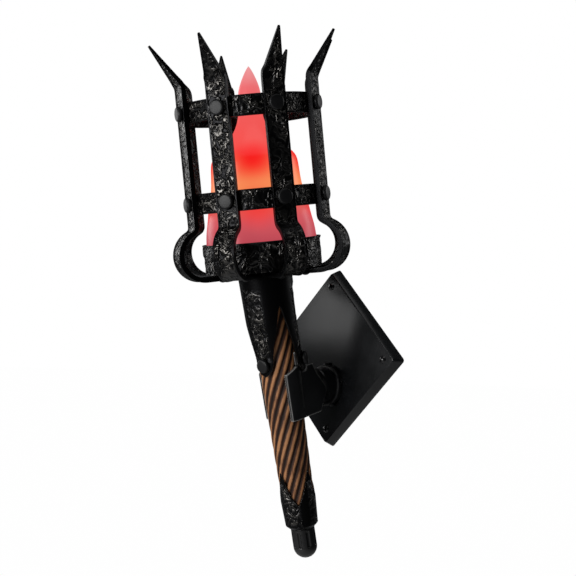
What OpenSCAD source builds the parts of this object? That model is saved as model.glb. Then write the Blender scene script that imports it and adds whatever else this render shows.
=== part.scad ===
// Torch sconce: a wooden torch with a riveted iron cage round a glass flame,
// carried on a saddle arm from a square wall plate that stands on its corner.
// Origin: centre of the mounting bracket's back face, on the wall.
// +Z is up, -Y points into the room and +X is to the right.

/* [Placement] */
// Distance of the cup's rim centre from the wall
head_out = 115.8; // [112:0.2:122]
// Height of the cup's rim centre above the wall plate's centre
head_up = 113.6; // [110:0.2:118]
// Lean of the cage away from the wall, in degrees
head_lean = 10.8; // [9:0.2:12]
// Lean of the wooden shaft away from the wall, in degrees
shaft_lean = 15; // [14:0.2:16]

/* [Wall plate] */
// Side of the plate's front face
plate_side = 126.4; // [120:0.2:140]
// How far the bevelled rim spreads on each side, front to back
plate_spread = 3.5; // [1:0.1:6]
// Depth of the plate from the wall to its front face
plate_depth = 12.1; // [11:0.1:20]
// Thickness of the plate's metal
plate_wall = 2; // [1.5:0.1:2.4]
// Rounding of the plate's corners
plate_corner_r = 3; // [1:0.5:6]
// Pitch circle of the four plate screws, one near each corner
plate_screw_pcd = 149.6; // [144:0.2:152]
// Radius of a plate screw's shank
plate_screw_r = 2; // [1.5:0.1:2.5]
// Radius of a plate screw's domed head
plate_screw_head_r = 4; // [3:0.1:5]
// Height of a plate screw's domed head
plate_screw_head_h = 2.6; // [1.5:0.1:3.5]

/* [Mounting bracket] */
// Width of the crossed bracket's arms
bracket_w = 24; // [20:1:26]
// Thickness of the bracket
bracket_t = 2.5; // [2:0.1:3]
// Distance between the two box screw holes in the level arm
box_wide = 88.9; // [84:0.1:92]
// Distance between the two box screw holes in the upright arm
box_narrow = 69.8; // [66:0.1:74]
// Radius of a box screw hole
box_hole_r = 2.4; // [2:0.1:3]
// Radius of the bracket's middle hole
bracket_mid_r = 8; // [6:0.5:9]
// Radius of the grounding screw's shank
ground_r = 2; // [1.5:0.1:2.5]
// Distance of the grounding screw from the middle
ground_x = 24; // [20:1:30]

/* [Arm] */
// How far the arm's axis lies below the plate's centre
arm_drop = 29.2; // [28:0.2:31]
// Outer radius of the arm tube
arm_r = 17.8; // [16:0.2:18.6]
// Inner radius of the arm tube
arm_bore_r = 13; // [11:0.5:14]
// Distance from the wall to the elbow where the saddle starts
arm_elbow_out = 26; // [25:0.5:28]
// Radius of the flare between the arm tube and the saddle
arm_flare_r = 24; // [20:1:26]
// Radius of the arm's threaded spigot
spigot_r = 12; // [10.5:0.5:13]
// Radius of the lead passage in the spigot
spigot_bore_r = 9; // [7:0.5:9.5]
// Outer radius of the collar on the plate
collar_r = 21.6; // [20:0.2:24]
// Thickness of the collar
collar_t = 6; // [5.6:0.1:7]
// Thickness of the arm's lock ring
arm_nut_t = 3.6; // [3:0.1:4]
// Size of the lock ring across its flats
arm_nut_af = 32; // [30:0.5:36]

/* [Saddle] */
// Thickness of the saddle's wrap
saddle_t = 3; // [2.4:0.1:3.2]
// Length of the saddle along the shaft
saddle_len = 54; // [50:1:58]
// Distance of the saddle's top below the neck rivets
saddle_below_rivets = 6; // [5.5:0.1:8]
// Half of the open arc at the saddle's front, in degrees
saddle_open = 63; // [58:1:70]
// Half of the width across the saddle's flat cheeks
saddle_half_w = 20; // [18:0.5:20.5]

/* [Shaft] */
// Radius of the shaft at the cup
shaft_top_r = 21.4; // [20.8:0.1:21.6]
// Radius of the shaft where the foot ferrule starts
shaft_foot_r = 17.4; // [16.8:0.1:18]
// Distance from the cup to the foot ferrule's points
foot_start = 201; // [198:1:215]
// Number of twisted flutes
flute_count = 14; // [10:1:18]
// Depth of a flute
flute_depth = 1.4; // [0.6:0.1:2]
// Length along the shaft of one full turn of a flute
flute_lead = 250; // [150:10:400]
// Radius of the lead passage down the shaft
shaft_bore_r = 4.5; // [4:0.1:5]

/* [Neck] */
// Radius of the neck socket at the cup
neck_top_r = 27.2; // [26.8:0.1:27.6]
// Thickness of the neck socket
neck_t = 3; // [2.6:0.1:3.2]
// Distance from the cup to the top of the notches between the tongues
neck_notch = 35; // [28:1:40]
// Distance from the cup to the neck rivets
neck_rivet_drop = 92; // [90:0.5:95]
// Width of a tongue beside its rivet
tongue_w = 28; // [24:1:30]
// Turn of the tongues round the shaft, in degrees
tongue_turn = 8; // [0:1:14]
// Radius of a neck rivet's head
neck_rivet_head_r = 6.9; // [5:0.1:7.4]

/* [Foot] */
// Length of the ferrule from its points to its closed end
foot_len = 65; // [60:1:70]
// Thickness of the ferrule
foot_t = 2.4; // [1.8:0.1:3]
// Outer radius of the ferrule's closed end
foot_end_r = 16.6; // [15.6:0.1:17.4]
// Depth of the notches between the ferrule's points
foot_notch = 38; // [32:1:44]
// Radius of a foot rivet's head
foot_rivet_head_r = 3.2; // [2.5:0.1:4]
// Radius of the finial
finial_r = 12.2; // [10:0.1:13.5]
// Length of the finial below the ferrule
finial_len = 33; // [28:1:45]
// Number of reeds round the finial
reed_count = 8; // [6:1:12]

/* [Cup] */
// Outer radius of the cup
cup_r = 59.2; // [58.6:0.1:60]
// Depth of the cup, outside
cup_h = 30.6; // [29:0.2:32]
// Thickness of the cup
cup_t = 2.5; // [2:0.1:2.8]

/* [Cage] */
// Number of straps round the cage
strap_count = 8; // [8:1:8]
// Width of a strap
strap_w = 22; // [18:0.5:22.5]
// Thickness of a strap
strap_t = 4.8; // [4:0.1:5]
// Radius of the cage to the straps' outer faces
cage_r = 71.4; // [70.6:0.1:73]
// Radius of the curl at a strap's foot, to its middle line
curl_r = 24; // [23.4:0.1:25]
// Radius of the bend above the curl, to its middle line
curl_bend_r = 7; // [6:0.5:10]
// Distance from the axis to a strap's inner end under the cup
strap_foot_in = 30; // [29.5:0.5:32]
// Height of the bend below a strap's point
spear_z = 155; // [152:1:165]
// Height of a strap's point
tip_z = 195; // [190:1:210]
// Radius of the ring of points
tip_r = 96; // [86:1:110]
// Height of the hoops
hoop_h = 20; // [16:1:24]
// Thickness of the hoops
hoop_t = 3; // [2:0.1:4]
// Height of the lower hoop's middle above the rim
lower_hoop_z = 40.7; // [38:0.1:46]
// Height of the upper hoop's middle above the rim
upper_hoop_z = 128.5; // [120:0.1:132]
// Radius of a cage rivet's shank
rivet_r = 3; // [2.5:0.1:3.5]
// Radius of a cage rivet's head
rivet_head_r = 7.4; // [6:0.1:8]
// Height of a cage rivet's head
rivet_head_h = 4.1; // [2.5:0.1:5]

/* [Glass] */
// Clearance between the shade's foot and the inside of the cup
shade_gap = 1.7; // [1.2:0.1:2.5]
// Thickness of the shade's glass
glass_t = 2.5; // [2:0.1:3.5]
// Height of the shade's point above the rim
glass_top = 172; // [160:1:180]
// How far the shade's point leans back towards the wall
glass_bend = 4.5; // [0:0.5:9]
// Thickness of the gasket under the shade
gasket_t = 3; // [2:0.1:4]
// Radius of a headless shade screw
shade_screw_r = 2.4; // [1.5:0.1:3]

/* [Lamp] */
// Outer radius of the lamp holder
holder_r = 19; // [18:0.5:22]
// Height of the lamp holder
holder_h = 42; // [38:1:44]
// Radius of the bulb's metal cap
cap_r = 13.1; // [12.6:0.1:13.6]
// Length of the bulb's cap inside the holder
cap_h = 24; // [22:0.5:26]
// Largest radius of the bulb's glass
bulb_r = 27; // [22:0.5:29]
// Height of the bulb's glass, from its cap to its top
bulb_h = 72; // [66:0.5:74]
// Radius of the threaded nipple
nipple_r = 5; // [4.6:0.1:5.4]
// Radius of one insulated lead
lead_r = 1.1; // [0.8:0.05:1.2]
// Distance of a splice cap's mouth from the middle of the plate
splice_out = 33; // [28:0.5:36]
// Length of a splice cap
splice_len = 13; // [10:0.5:15]

/* [Hidden] */
$fn = 64;

iron = "#26282a";
satin_black = "#1b1c1e";
wood_brown = "#8a5a34";
zinc = "#b9bcc0";
brass = "#c9a24a";
porcelain = "#ece9e1";
flame_red = "#ff5548";

fit = 0.05;        // radial clearance of a shank or a turning part in its hole
seat = 0.3;        // gap where a curved face lies on another
merge = 0.2;       // how far shapes of one solid run into each other
cut = 60;          // reach of a cutting shape past the solid it cuts

splice_y = -(bracket_t + plate_depth - plate_wall) / 2;

// Places along the shaft, measured down from the cup's floor plane
foot_end = foot_start + foot_len;
rivet_z = -neck_rivet_drop;
saddle_top = rivet_z - saddle_below_rivets;
saddle_bottom = saddle_top - saddle_len;
saddle_ear_top = rivet_z + neck_rivet_head_r + 1;
ear_w = 2 * neck_rivet_head_r + 4;
tongue_end = rivet_z - tongue_w / 2 + 1.5;
wood_top = -9.5;
foot_rivet_z = -foot_start - 17;
foot_angles = [0, 90, 180, 270];
tongue_angles = [tongue_turn, tongue_turn + 120, tongue_turn + 240];

// Places round the head, in the cup's own frame with z = 0 at the rim
cup_floor_z = cup_t - cup_h;
strap_step = 360 / strap_count;
hoop_r = cage_r - strap_t - seat;
strap_mid_r = cage_r - strap_t / 2;
curl_z = -cup_h - strap_t / 2 + curl_r;
screw_z = -7;
screw_angles = [-45, 75, 195];
holder_top = cup_floor_z + holder_h;
glass_r = cup_r - cup_t - shade_gap;

// The shaft's frame starts at the middle of the cup's floor
shaft_y = -head_out + cup_h * sin(head_lean);
shaft_z = head_up - cup_h * cos(head_lean);
// The elbow's place in the shaft's frame: y backwards, z up the shaft
elbow_dy = -arm_elbow_out - shaft_y;
elbow_dz = -arm_drop - shaft_z;
elbow_y = elbow_dy * cos(shaft_lean) + elbow_dz * sin(shaft_lean);
elbow_z = -elbow_dy * sin(shaft_lean) + elbow_dz * cos(shaft_lean);

function wood_r(z) = shaft_top_r + (shaft_top_r - shaft_foot_r) * z / foot_start;
function ferrule_r(z) = shaft_foot_r + seat + foot_t
    + (shaft_foot_r + seat + foot_t - foot_end_r) * (z + foot_start) / foot_len;
function on_head(p) = [p[0],
    -head_out + p[1] * cos(head_lean) - p[2] * sin(head_lean),
    head_up + p[1] * sin(head_lean) + p[2] * cos(head_lean)];
function on_shaft(p) = [p[0],
    shaft_y + p[1] * cos(shaft_lean) - p[2] * sin(shaft_lean),
    shaft_z + p[1] * sin(shaft_lean) + p[2] * cos(shaft_lean)];

module at_head() { translate([0, -head_out, head_up]) rotate([head_lean, 0, 0]) children(); }
module at_shaft() { translate([0, shaft_y, shaft_z]) rotate([shaft_lean, 0, 0]) children(); }
module at_arm() { translate([0, 0, -arm_drop]) rotate([90, 0, 0]) children(); }
// A child drawn along +Z points outwards at the angle a, counted from the room side to the right
module radial(a, r, z) { rotate([0, 0, a]) translate([0, -r, z]) rotate([90, 0, 0]) children(); }

// A button head that stands on z = 0, on a shank that reaches down by len
module button(head_r, head_h, shank_r, len) {
    edge = head_h * 0.45;
    rotate_extrude()
        polygon(concat([[0, -len], [shank_r, -len], [shank_r, 0], [head_r, 0]],
            [for (a = [0:15:90]) [head_r - edge + edge * cos(a), head_h * 0.5 + edge * sin(a)]],
            [[0, head_h]]));
}

// A plain domed head that stands on z = 0, on a shank that reaches down by len
module dome_screw(head_r, head_h, shank_r, len) {
    ball = (head_r * head_r + head_h * head_h) / (2 * head_h);
    intersection() {
        translate([0, 0, head_h - ball]) sphere(ball);
        cylinder(r = head_r + 1, h = head_h + 1);
    }
    translate([0, 0, -len]) cylinder(r = shank_r, h = len + merge);
}

// ---- wall side ----

module plate_outline(side) {
    rotate([0, 0, 45]) offset(r = plate_corner_r, $fn = 32)
        square(side - 2 * plate_corner_r, center = true);
}

module plate_body(grow, depth) {
    hull() {
        rotate([90, 0, 0]) linear_extrude(0.01) plate_outline(plate_side + 2 * plate_spread + 2 * grow);
        translate([0, -depth + 0.01, 0]) rotate([90, 0, 0]) linear_extrude(0.01)
            plate_outline(plate_side + 2 * grow);
    }
}

module plate_holes(r) {
    for (a = [0:90:270]) rotate([0, a, 0])
        translate([plate_screw_pcd / 2, cut / 2, 0]) rotate([90, 0, 0]) cylinder(r = r, h = cut);
}

module wall_plate() {
    color(satin_black) difference() {
        plate_body(0, plate_depth);
        translate([0, 0.02, 0]) plate_body(-plate_wall, plate_depth - plate_wall + 0.02);
        plate_holes(plate_screw_r + fit);
        at_arm() cylinder(r = spigot_r + fit, h = cut);
    }
}

module plate_screws() {
    color(satin_black) for (a = [0:90:270]) rotate([0, a, 0])
        translate([plate_screw_pcd / 2, -plate_depth, 0]) rotate([90, 0, 0])
            dome_screw(plate_screw_head_r, plate_screw_head_h, plate_screw_r, plate_depth - 0.5);
}

module bracket_bar() {
    reach = plate_screw_pcd / 2 - 4;
    rotate([90, 0, 0]) linear_extrude(bracket_t) {
        square([2 * reach, bracket_w], center = true);
        for (x = [-reach, reach]) translate([x, 0]) circle(r = bracket_w / 2);
    }
}

module mounting_bracket() {
    color(zinc) difference() {
        union() {
            bracket_bar();
            rotate([0, 90, 0]) bracket_bar();
        }
        plate_holes(plate_screw_r + fit);
        rotate([90, 0, 0]) {
            for (x = [-1, 1]) translate([x * box_wide / 2, 0, -cut / 2]) cylinder(r = box_hole_r, h = cut);
            for (z = [-1, 1]) translate([0, z * box_narrow / 2, -cut / 2])
                cylinder(r = box_hole_r, h = cut);
            translate([0, 0, -cut / 2]) cylinder(r = bracket_mid_r, h = cut);
            translate([ground_x, 0, -cut / 2]) cylinder(r = ground_r + fit, h = cut);
        }
    }
}

module ground_screw() {
    head_h = 2.4;
    color("#3f7d4c") translate([ground_x, -bracket_t, 0]) rotate([90, 0, 0]) {
        cylinder(r = ground_r * 2, h = head_h, $fn = 6);
        translate([0, 0, -bracket_t]) cylinder(r = ground_r, h = bracket_t + merge);
    }
}

module arm_collar() {
    color(iron) difference() {
        at_arm() translate([0, 0, plate_depth]) rotate_extrude()
            polygon([[arm_r + fit, 0], [collar_r, 0], [collar_r, collar_t - 1],
                [collar_r - 1, collar_t], [arm_r + fit, collar_t]]);
        collar_screw_places() translate([0, 0, -cut]) cylinder(r = 1.75 + fit, h = 2 * cut);
    }
}

// One screw on top, where it breaks the collar's outline, and two below
module collar_screw_places() {
    for (a = [90, -62, 194])
        translate([collar_r * cos(a), -plate_depth - collar_t / 2, -arm_drop + collar_r * sin(a)])
            rotate([0, 90 - a, 0]) children();
}

module collar_screws() {
    color(iron) collar_screw_places()
        translate([0, 0, 0.05]) dome_screw(collar_t / 2 - 0.2, 2.4, 1.75, collar_r - arm_r - 0.3);
}

module arm_lock_ring() {
    color(zinc) at_arm() translate([0, 0, plate_depth - plate_wall - arm_nut_t]) difference() {
        cylinder(r = arm_nut_af / sqrt(3), h = arm_nut_t, $fn = 6);
        translate([0, 0, -1]) cylinder(r = spigot_r + fit, h = arm_nut_t + 2);
    }
}

// ---- saddle arm ----

// The wood's cone grown by g, as a solid of revolution from z1 down to z2
module shaft_cone(z1, z2, g) {
    rotate_extrude() polygon([[0, z1], [wood_r(z1) + g, z1], [wood_r(z2) + g, z2], [0, z2]]);
}

// Side outline of the saddle: y backwards, z up the shaft
module saddle_side() {
    front = -(wood_r(saddle_top) + seat + saddle_t) * cos(saddle_open);
    rotate([90, 0, 90]) linear_extrude(2 * cut, center = true)
        polygon([[front, saddle_top - 6], [front + 0.8, saddle_bottom], [elbow_y + cut, saddle_bottom],
            [elbow_y + cut, saddle_top], [front + 13, saddle_top]]);
}

// Two ears stand up behind the saddle's top, under the neck's rear tongues
module saddle_ears() {
    for (i = [1, 2]) rotate([0, 0, tongue_angles[i]])
        translate([-ear_w / 2, -cut, saddle_top - 5]) cube([ear_w, cut, saddle_ear_top - saddle_top + 5]);
}

// The flare turns round the elbow's axis, from the arm tube out to the saddle
module arm_flare() {
    translate([0, elbow_y, elbow_z]) rotate([90, 0, 0]) rotate_extrude()
        polygon(concat([[0, -1], [arm_r, -1], [arm_r, 0]],
            [for (a = [10:10:80]) [arm_r + arm_flare_r * (1 - cos(a)), arm_flare_r * sin(a)]],
            [[arm_r + arm_flare_r, arm_flare_r], [arm_r + arm_flare_r, elbow_y], [0, elbow_y]]));
}

module bracket_arm() {
    color(iron) difference() {
        union() {
            at_shaft() intersection() {
                shaft_cone(saddle_ear_top, saddle_bottom, seat + saddle_t);
                union() {
                    saddle_side();
                    saddle_ears();
                }
            }
            at_shaft() intersection() {
                arm_flare();
                translate([-saddle_half_w, 1, saddle_bottom + 0.01])
                    cube([2 * saddle_half_w, elbow_y + cut, saddle_len - 2.5]);
            }
            at_arm() translate([0, 0, plate_depth]) cylinder(r = arm_r, h = arm_elbow_out - plate_depth + 6);
            at_arm() translate([0, 0, bracket_t + 3]) cylinder(r = spigot_r, h = plate_depth);
        }
        at_shaft() {
            shaft_cone(1, -foot_start, seat);
            for (i = [1, 2]) radial(tongue_angles[i], 0, rivet_z) cylinder(r = rivet_r + fit, h = cut);
            translate([0, elbow_y + 4, elbow_z]) rotate([90, 0, 0]) cylinder(r = arm_bore_r - 2, h = elbow_y);
        }
        at_arm() translate([0, 0, plate_depth + 3]) cylinder(r = arm_bore_r, h = arm_elbow_out - plate_depth);
        at_arm() cylinder(r = spigot_bore_r, h = arm_elbow_out);
        neck_room();
    }
}

// Room in the arm's flare for the neck's two rear tongues and their rivet heads
module neck_room() {
    at_shaft() difference() {
        translate([0, 0, tongue_end - 1]) cylinder(r = neck_back_r + 1, h = cut);
        shaft_cone(1, -foot_start, seat + saddle_t + 0.1);
    }
    at_shaft() for (i = [1, 2]) radial(tongue_angles[i], neck_back_r, rivet_z)
        cylinder(r = neck_rivet_head_r + 0.5, h = cut);
}

neck_back_r = wood_r(rivet_z) + seat + saddle_t + seat + neck_t;
neck_front_r = wood_r(rivet_z) + seat + neck_t;
neck_mid_r = neck_top_r - 1.2;
neck_part_z = -neck_notch - 16;
seat_top = rivet_z + neck_rivet_head_r + 1;   // a tongue is straight from here down, under its rivet's head

// ---- shaft ----

module fluted_wood(z1, z2) {
    h = z1 - z2;
    pts = 4;
    n = flute_count * pts;
    translate([0, 0, z2]) linear_extrude(height = h, twist = -360 * h / flute_lead, slices = 20,
        scale = wood_r(z1) / wood_r(z2), convexity = 4)
        polygon([for (i = [0:n - 1]) let (a = 360 * i / n,
            r = wood_r(z2) - flute_depth * pow(abs(cos(180 * i / pts)), 1.5)) [r * cos(a), r * sin(a)]]);
}

module shaft() {
    flute_top = -neck_notch + 6;
    flute_low = -foot_start - foot_notch - 2;
    inset = 0.3;
    color(wood_brown) at_shaft() difference() {
        union() {
            intersection() {
                fluted_wood(flute_top, flute_low);
                rotate_extrude() polygon(concat([[0, wood_top], [wood_r(0) + 2, wood_top],
                    [wood_r(-foot_start) + 0.02, -foot_start]],
                    [[ferrule_r(-foot_end) - foot_t - inset, -foot_end], [0, -foot_end]]));
            }
            translate([0, 0, flute_top - 1]) cylinder(r1 = wood_r(flute_top) - flute_depth,
                r2 = wood_r(wood_top) - flute_depth, h = wood_top - flute_top + 1);
            rotate_extrude() polygon([[0, flute_low + 1],
                [ferrule_r(flute_low + 1) - foot_t - inset - 0.5, flute_low + 1],
                [ferrule_r(-foot_end + 4) - foot_t - inset, -foot_end + foot_t + seat],
                [0, -foot_end + foot_t + seat]]);
        }
        translate([0, 0, elbow_z - shaft_bore_r]) cylinder(r = shaft_bore_r, h = cut * 3);
        translate([0, 0, elbow_z]) rotate([-90, 0, 0]) cylinder(r = shaft_bore_r, h = cut);
        translate([0, 0, -foot_end - 1]) cylinder(r = finial_stud_r + fit, h = finial_stud_l + 2);
        for (a = tongue_angles) radial(a, 0, rivet_z) translate([0, 0, wood_r(rivet_z) - neck_grip])
            cylinder(r = rivet_r + fit, h = cut);
        for (a = foot_angles) radial(a, 0, foot_rivet_z) translate([0, 0, foot_grip_r])
            cylinder(r = foot_rivet_r + fit, h = cut);
    }
}

neck_grip = 10;        // how far a neck rivet reaches into the wood
foot_rivet_r = 1.6;
foot_grip_r = 9;       // how close to the axis a foot rivet reaches
finial_stud_r = 4;
finial_stud_l = 24;

// ---- neck ----

// Shell of the neck's collar and its rear tongues
module neck_shell() {
    r_end = neck_back_r;
    rotate_extrude() polygon([[neck_top_r, 6], [neck_top_r, 0], [neck_mid_r, neck_part_z], [r_end, seat_top],
        [r_end, tongue_end], [r_end - neck_t, tongue_end], [r_end - neck_t, seat_top],
        [neck_mid_r - neck_t, neck_part_z], [neck_top_r - neck_t, 0], [neck_top_r - neck_t, 6]]);
}

// Shell of the front tongue, which leans in onto the wood
module front_shell() {
    r_end = neck_front_r;
    z_top = neck_part_z + 6;
    r_top = neck_mid_r + (neck_top_r - neck_mid_r) * (z_top - neck_part_z) / -neck_part_z;
    rotate_extrude() polygon([[r_top, z_top], [neck_mid_r, neck_part_z], [r_end, seat_top],
        [r_end, tongue_end], [r_end - neck_t, tongue_end], [r_end - neck_t, seat_top],
        [neck_mid_r - neck_t, neck_part_z], [r_top - neck_t, z_top]]);
}

// The room of the front tongue, from a little above the place where it leans in
module front_room() {
    top = neck_part_z + 3;
    low = tongue_end - 6;
    rotate([0, 0, tongue_angles[0]]) translate([-cut / 2, -cut, low])
        cube([cut, cut - neck_mid_r * 0.45, top - low]);
}

// Where a tongue's edge at x from its middle lies, seen square on to the notch beside it
function notch_x(x) = neck_back_r * sin(60 - asin(x / neck_back_r));

// What is cut away between two tongues, and round the corners of their ends
module notch_tool(i) {
    w = tongue_w / 2;
    half = concat([[0.8, -neck_notch], [notch_x(w) - 2, -neck_notch - 40]],
        [for (a = [0:15:60]) [notch_x(w * cos(a)), rivet_z + 1 - w * sin(a)]],
        [[notch_x(w * 0.35), tongue_end - 1], [notch_x(w * 0.35), tongue_end - 10]]);
    n = len(half);
    rotate([0, 0, tongue_angles[i] + 60]) translate([0, -8, 0]) rotate([90, 0, 0]) linear_extrude(cut)
        polygon(concat(half, [for (k = [n - 1:-1:0]) [-half[k][0], half[k][1]]]));
}

module neck_socket() {
    color(iron) difference() {
        union() {
            at_shaft() difference() {
                neck_shell();
                front_room();
                for (i = [0:2]) notch_tool(i);
            }
            at_shaft() difference() {
                intersection() {
                    front_shell();
                    front_room();
                }
                notch_tool(0);
                notch_tool(2);
            }
            at_head() translate([0, 0, -cup_h - neck_t]) cylinder(r = neck_top_r - neck_t / 2, h = neck_t + 2);
        }
        at_head() translate([0, 0, -cup_h]) cylinder(r = cut, h = cut);
        at_head() translate([0, 0, -cup_h - 20]) cylinder(r = nipple_r + fit, h = 40);
        at_shaft() for (i = [0:2]) radial(tongue_angles[i], 0, rivet_z) cylinder(r = rivet_r + fit, h = cut);
    }
}

module neck_rivets() {
    color(iron) at_shaft() for (i = [0:2]) {
        r = i == 0 ? neck_front_r : neck_back_r;
        radial(tongue_angles[i], r, rivet_z)
            button(neck_rivet_head_r, rivet_head_h, rivet_r, r - wood_r(rivet_z) + neck_grip - 0.3);
    }
}

// ---- foot ----

module foot_ferrule() {
    z_top = -foot_start;
    chamfer = 3.5;
    color(iron) at_shaft() difference() {
        rotate_extrude() polygon([[ferrule_r(z_top) - foot_t, z_top], [ferrule_r(z_top), z_top],
            [ferrule_r(-foot_end + chamfer), -foot_end + chamfer],
            [ferrule_r(-foot_end) - chamfer, -foot_end], [0, -foot_end], [0, -foot_end + foot_t],
            [ferrule_r(-foot_end + foot_t) - foot_t, -foot_end + foot_t]]);
        for (a = foot_angles) rotate([0, 0, a + 45]) rotate([90, 0, 0]) linear_extrude(cut)
            polygon([[0, z_top - foot_notch], [4, z_top - foot_notch + 6], [9, z_top - foot_notch + 19],
                [14.6, z_top + 1], [-14.6, z_top + 1], [-9, z_top - foot_notch + 19],
                [-4, z_top - foot_notch + 6]]);
        for (a = foot_angles) radial(a, 0, foot_rivet_z) cylinder(r = foot_rivet_r + fit, h = cut);
        translate([0, 0, -foot_end - 1]) cylinder(r = finial_stud_r + fit, h = foot_t + 3);
    }
}

module foot_rivets() {
    r = ferrule_r(foot_rivet_z) + 0.1;
    color(iron) at_shaft() for (a = foot_angles)
        radial(a, r, foot_rivet_z) dome_screw(foot_rivet_head_r, 2, foot_rivet_r, r - foot_grip_r - 0.3);
}

module finial() {
    color(satin_black) at_shaft() translate([0, 0, -foot_end]) difference() {
        rotate_extrude() polygon(concat([[0, finial_stud_l], [finial_stud_r, finial_stud_l], [finial_stud_r, 0],
            [finial_r, 0]],
            [for (a = [0:10:90]) [finial_r * cos(a), finial_r - finial_len - finial_r * sin(a)]]));
        for (i = [0:reed_count - 1]) rotate([0, 0, 360 * (i + 0.5) / reed_count])
            translate([0, -finial_r - 1.2, finial_r - finial_len + 1]) cylinder(r = 2.4, h = finial_len - finial_r - 4);
    }
}

// ---- head ----

module cup() {
    color(iron) at_head() difference() {
        rotate_extrude() polygon([[0, -cup_h], [cup_r - 1.5, -cup_h], [cup_r, -cup_h + 1.5],
            [cup_r, 0], [cup_r - cup_t, 0], [cup_r - cup_t, cup_floor_z], [0, cup_floor_z]]);
        translate([0, 0, -cup_h - 1]) cylinder(r = nipple_r + fit, h = cup_t + 2);
        for (i = [0:strap_count - 1]) rotate([0, 0, (i + 0.5) * strap_step])
            translate([0, -base_rivet_at, -cup_h - 1]) cylinder(r = base_rivet_r + fit, h = cup_t + 2);
        for (a = screw_angles) radial(a, 0, screw_z) cylinder(r = shade_screw_r + fit, h = cup_r + 1);
    }
}

base_rivet_r = 2;
base_rivet_at = 44;     // distance of a strap's foot rivet from the axis

// Edge of a strap, offset by s from its middle line, from its inner foot up to its point.
// Each point is [distance from the axis, height].
function strap_edge(s) =
    let (cr = strap_mid_r - curl_reach(),
         lean = atan2(tip_r - strap_mid_r, tip_z - spear_z),
         swing = acos((curl_bend_r + strap_mid_r - cr) / (curl_r + curl_bend_r)),
         bend_z = curl_z + (curl_r + curl_bend_r) * sin(swing))
    concat([[strap_foot_in, curl_z - curl_r - s]],
        [for (i = [0:12]) let (a = -90 + (90 + swing) * i / 12)
            [cr + (curl_r + s) * cos(a), curl_z + (curl_r + s) * sin(a)]],
        [for (i = [1:4]) let (a = 180 + swing - swing * i / 4)
            [strap_mid_r + curl_bend_r + (curl_bend_r - s) * cos(a), bend_z + (curl_bend_r - s) * sin(a)]],
        [for (i = [0:3]) let (a = lean * i / 3, k = 12)
            [strap_mid_r + k - (k - s) * cos(a), spear_z - k * tan(lean / 2) + (k - s) * sin(a)]],
        [[tip_r + s * 0.45 * cos(lean), tip_z - s * 0.45 * sin(lean)]]);
// Distance from a strap's upright to the middle of its curl
function curl_reach() = 5.9 * curl_r / 24;

module strap_profile() {
    outer = strap_edge(strap_t / 2);
    inner = strap_edge(-strap_t / 2);
    n = len(inner);
    rotate([90, 0, 90]) linear_extrude(strap_w, center = true)
        polygon([for (p = outer) [-p[0], p[1]], for (i = [1:n]) [-inner[n - i][0], inner[n - i][1]]]);
}

// Front outline of a strap: parallel sides, then a spear that narrows from the bend to its point
module strap_front() {
    w = strap_w / 2;
    low = -cup_h - strap_t - 1;
    base = spear_z - 1;
    rotate([90, 0, 0]) linear_extrude(2 * cut)
        polygon([[-w, low], [w, low], [w, base], [w * 0.86, base + 6], [0.9, tip_z], [0.9, tip_z + 4],
            [-0.9, tip_z + 4], [-0.9, tip_z], [-w * 0.86, base + 6], [-w, base]]);
}

module cage_strap(i) {
    color(iron) at_head() rotate([0, 0, (i - 0.5) * strap_step]) difference() {
        intersection() {
            strap_profile();
            strap_front();
        }
        for (z = [lower_hoop_z, upper_hoop_z]) translate([0, 0, z]) rotate([90, 0, 0])
            cylinder(r = rivet_r + fit, h = cage_r + 10);
        translate([0, -base_rivet_at, -cup_h - strap_t - 1]) cylinder(r = base_rivet_r + fit, h = strap_t + 2);
    }
}

module cage_strap_1() { cage_strap(1); }
module cage_strap_2() { cage_strap(2); }
module cage_strap_3() { cage_strap(3); }
module cage_strap_4() { cage_strap(4); }
module cage_strap_5() { cage_strap(5); }
module cage_strap_6() { cage_strap(6); }
module cage_strap_7() { cage_strap(7); }
module cage_strap_8() { cage_strap(8); }

module base_rivets() {
    color(iron) at_head() for (i = [0:strap_count - 1]) rotate([0, 0, (i + 0.5) * strap_step])
        translate([0, -base_rivet_at, -cup_h - strap_t]) rotate([180, 0, 0])
            dome_screw(4.5, 2.2, base_rivet_r, cup_t + strap_t);
}

module hoop(z) {
    color(iron) at_head() difference() {
        translate([0, 0, z - hoop_h / 2]) cylinder(r = hoop_r, h = hoop_h, $fn = 128);
        translate([0, 0, z - hoop_h / 2 - 1]) cylinder(r = hoop_r - hoop_t, h = hoop_h + 2, $fn = 128);
        for (i = [0:strap_count - 1]) radial((i + 0.5) * strap_step, 0, z)
            cylinder(r = rivet_r + fit, h = cage_r);
    }
}

module lower_hoop() { hoop(lower_hoop_z); }
module upper_hoop() { hoop(upper_hoop_z); }

// A cage rivet: button head outside the strap, shank through strap and hoop, low head inside
module cage_rivets(z) {
    inside = strap_t + seat + hoop_t + 0.3;
    color(iron) at_head() for (i = [0:strap_count - 1]) radial((i + 0.5) * strap_step, cage_r, z) {
        button(rivet_head_r, rivet_head_h, rivet_r, inside);
        translate([0, 0, -inside - 1.4]) cylinder(r = rivet_r + 1.6, h = 1.4 + 0.01);
    }
}

module lower_rivets() { cage_rivets(lower_hoop_z); }
module upper_rivets() { cage_rivets(upper_hoop_z); }

// ---- glass and lamp ----

// Outline of the flame, as [share of the height over the rim, share of the foot radius]
flame = [[0, 1], [0.07, 0.98], [0.137, 0.93], [0.2, 0.905], [0.286, 0.825], [0.37, 0.8],
    [0.44, 0.79], [0.476, 0.76], [0.512, 0.66], [0.565, 0.475], [0.625, 0.315], [0.7, 0.222],
    [0.76, 0.212], [0.82, 0.212], [0.87, 0.192], [0.915, 0.142], [0.96, 0.08], [0.985, 0.034]];
glass_foot_z = cup_floor_z + gasket_t;

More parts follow.
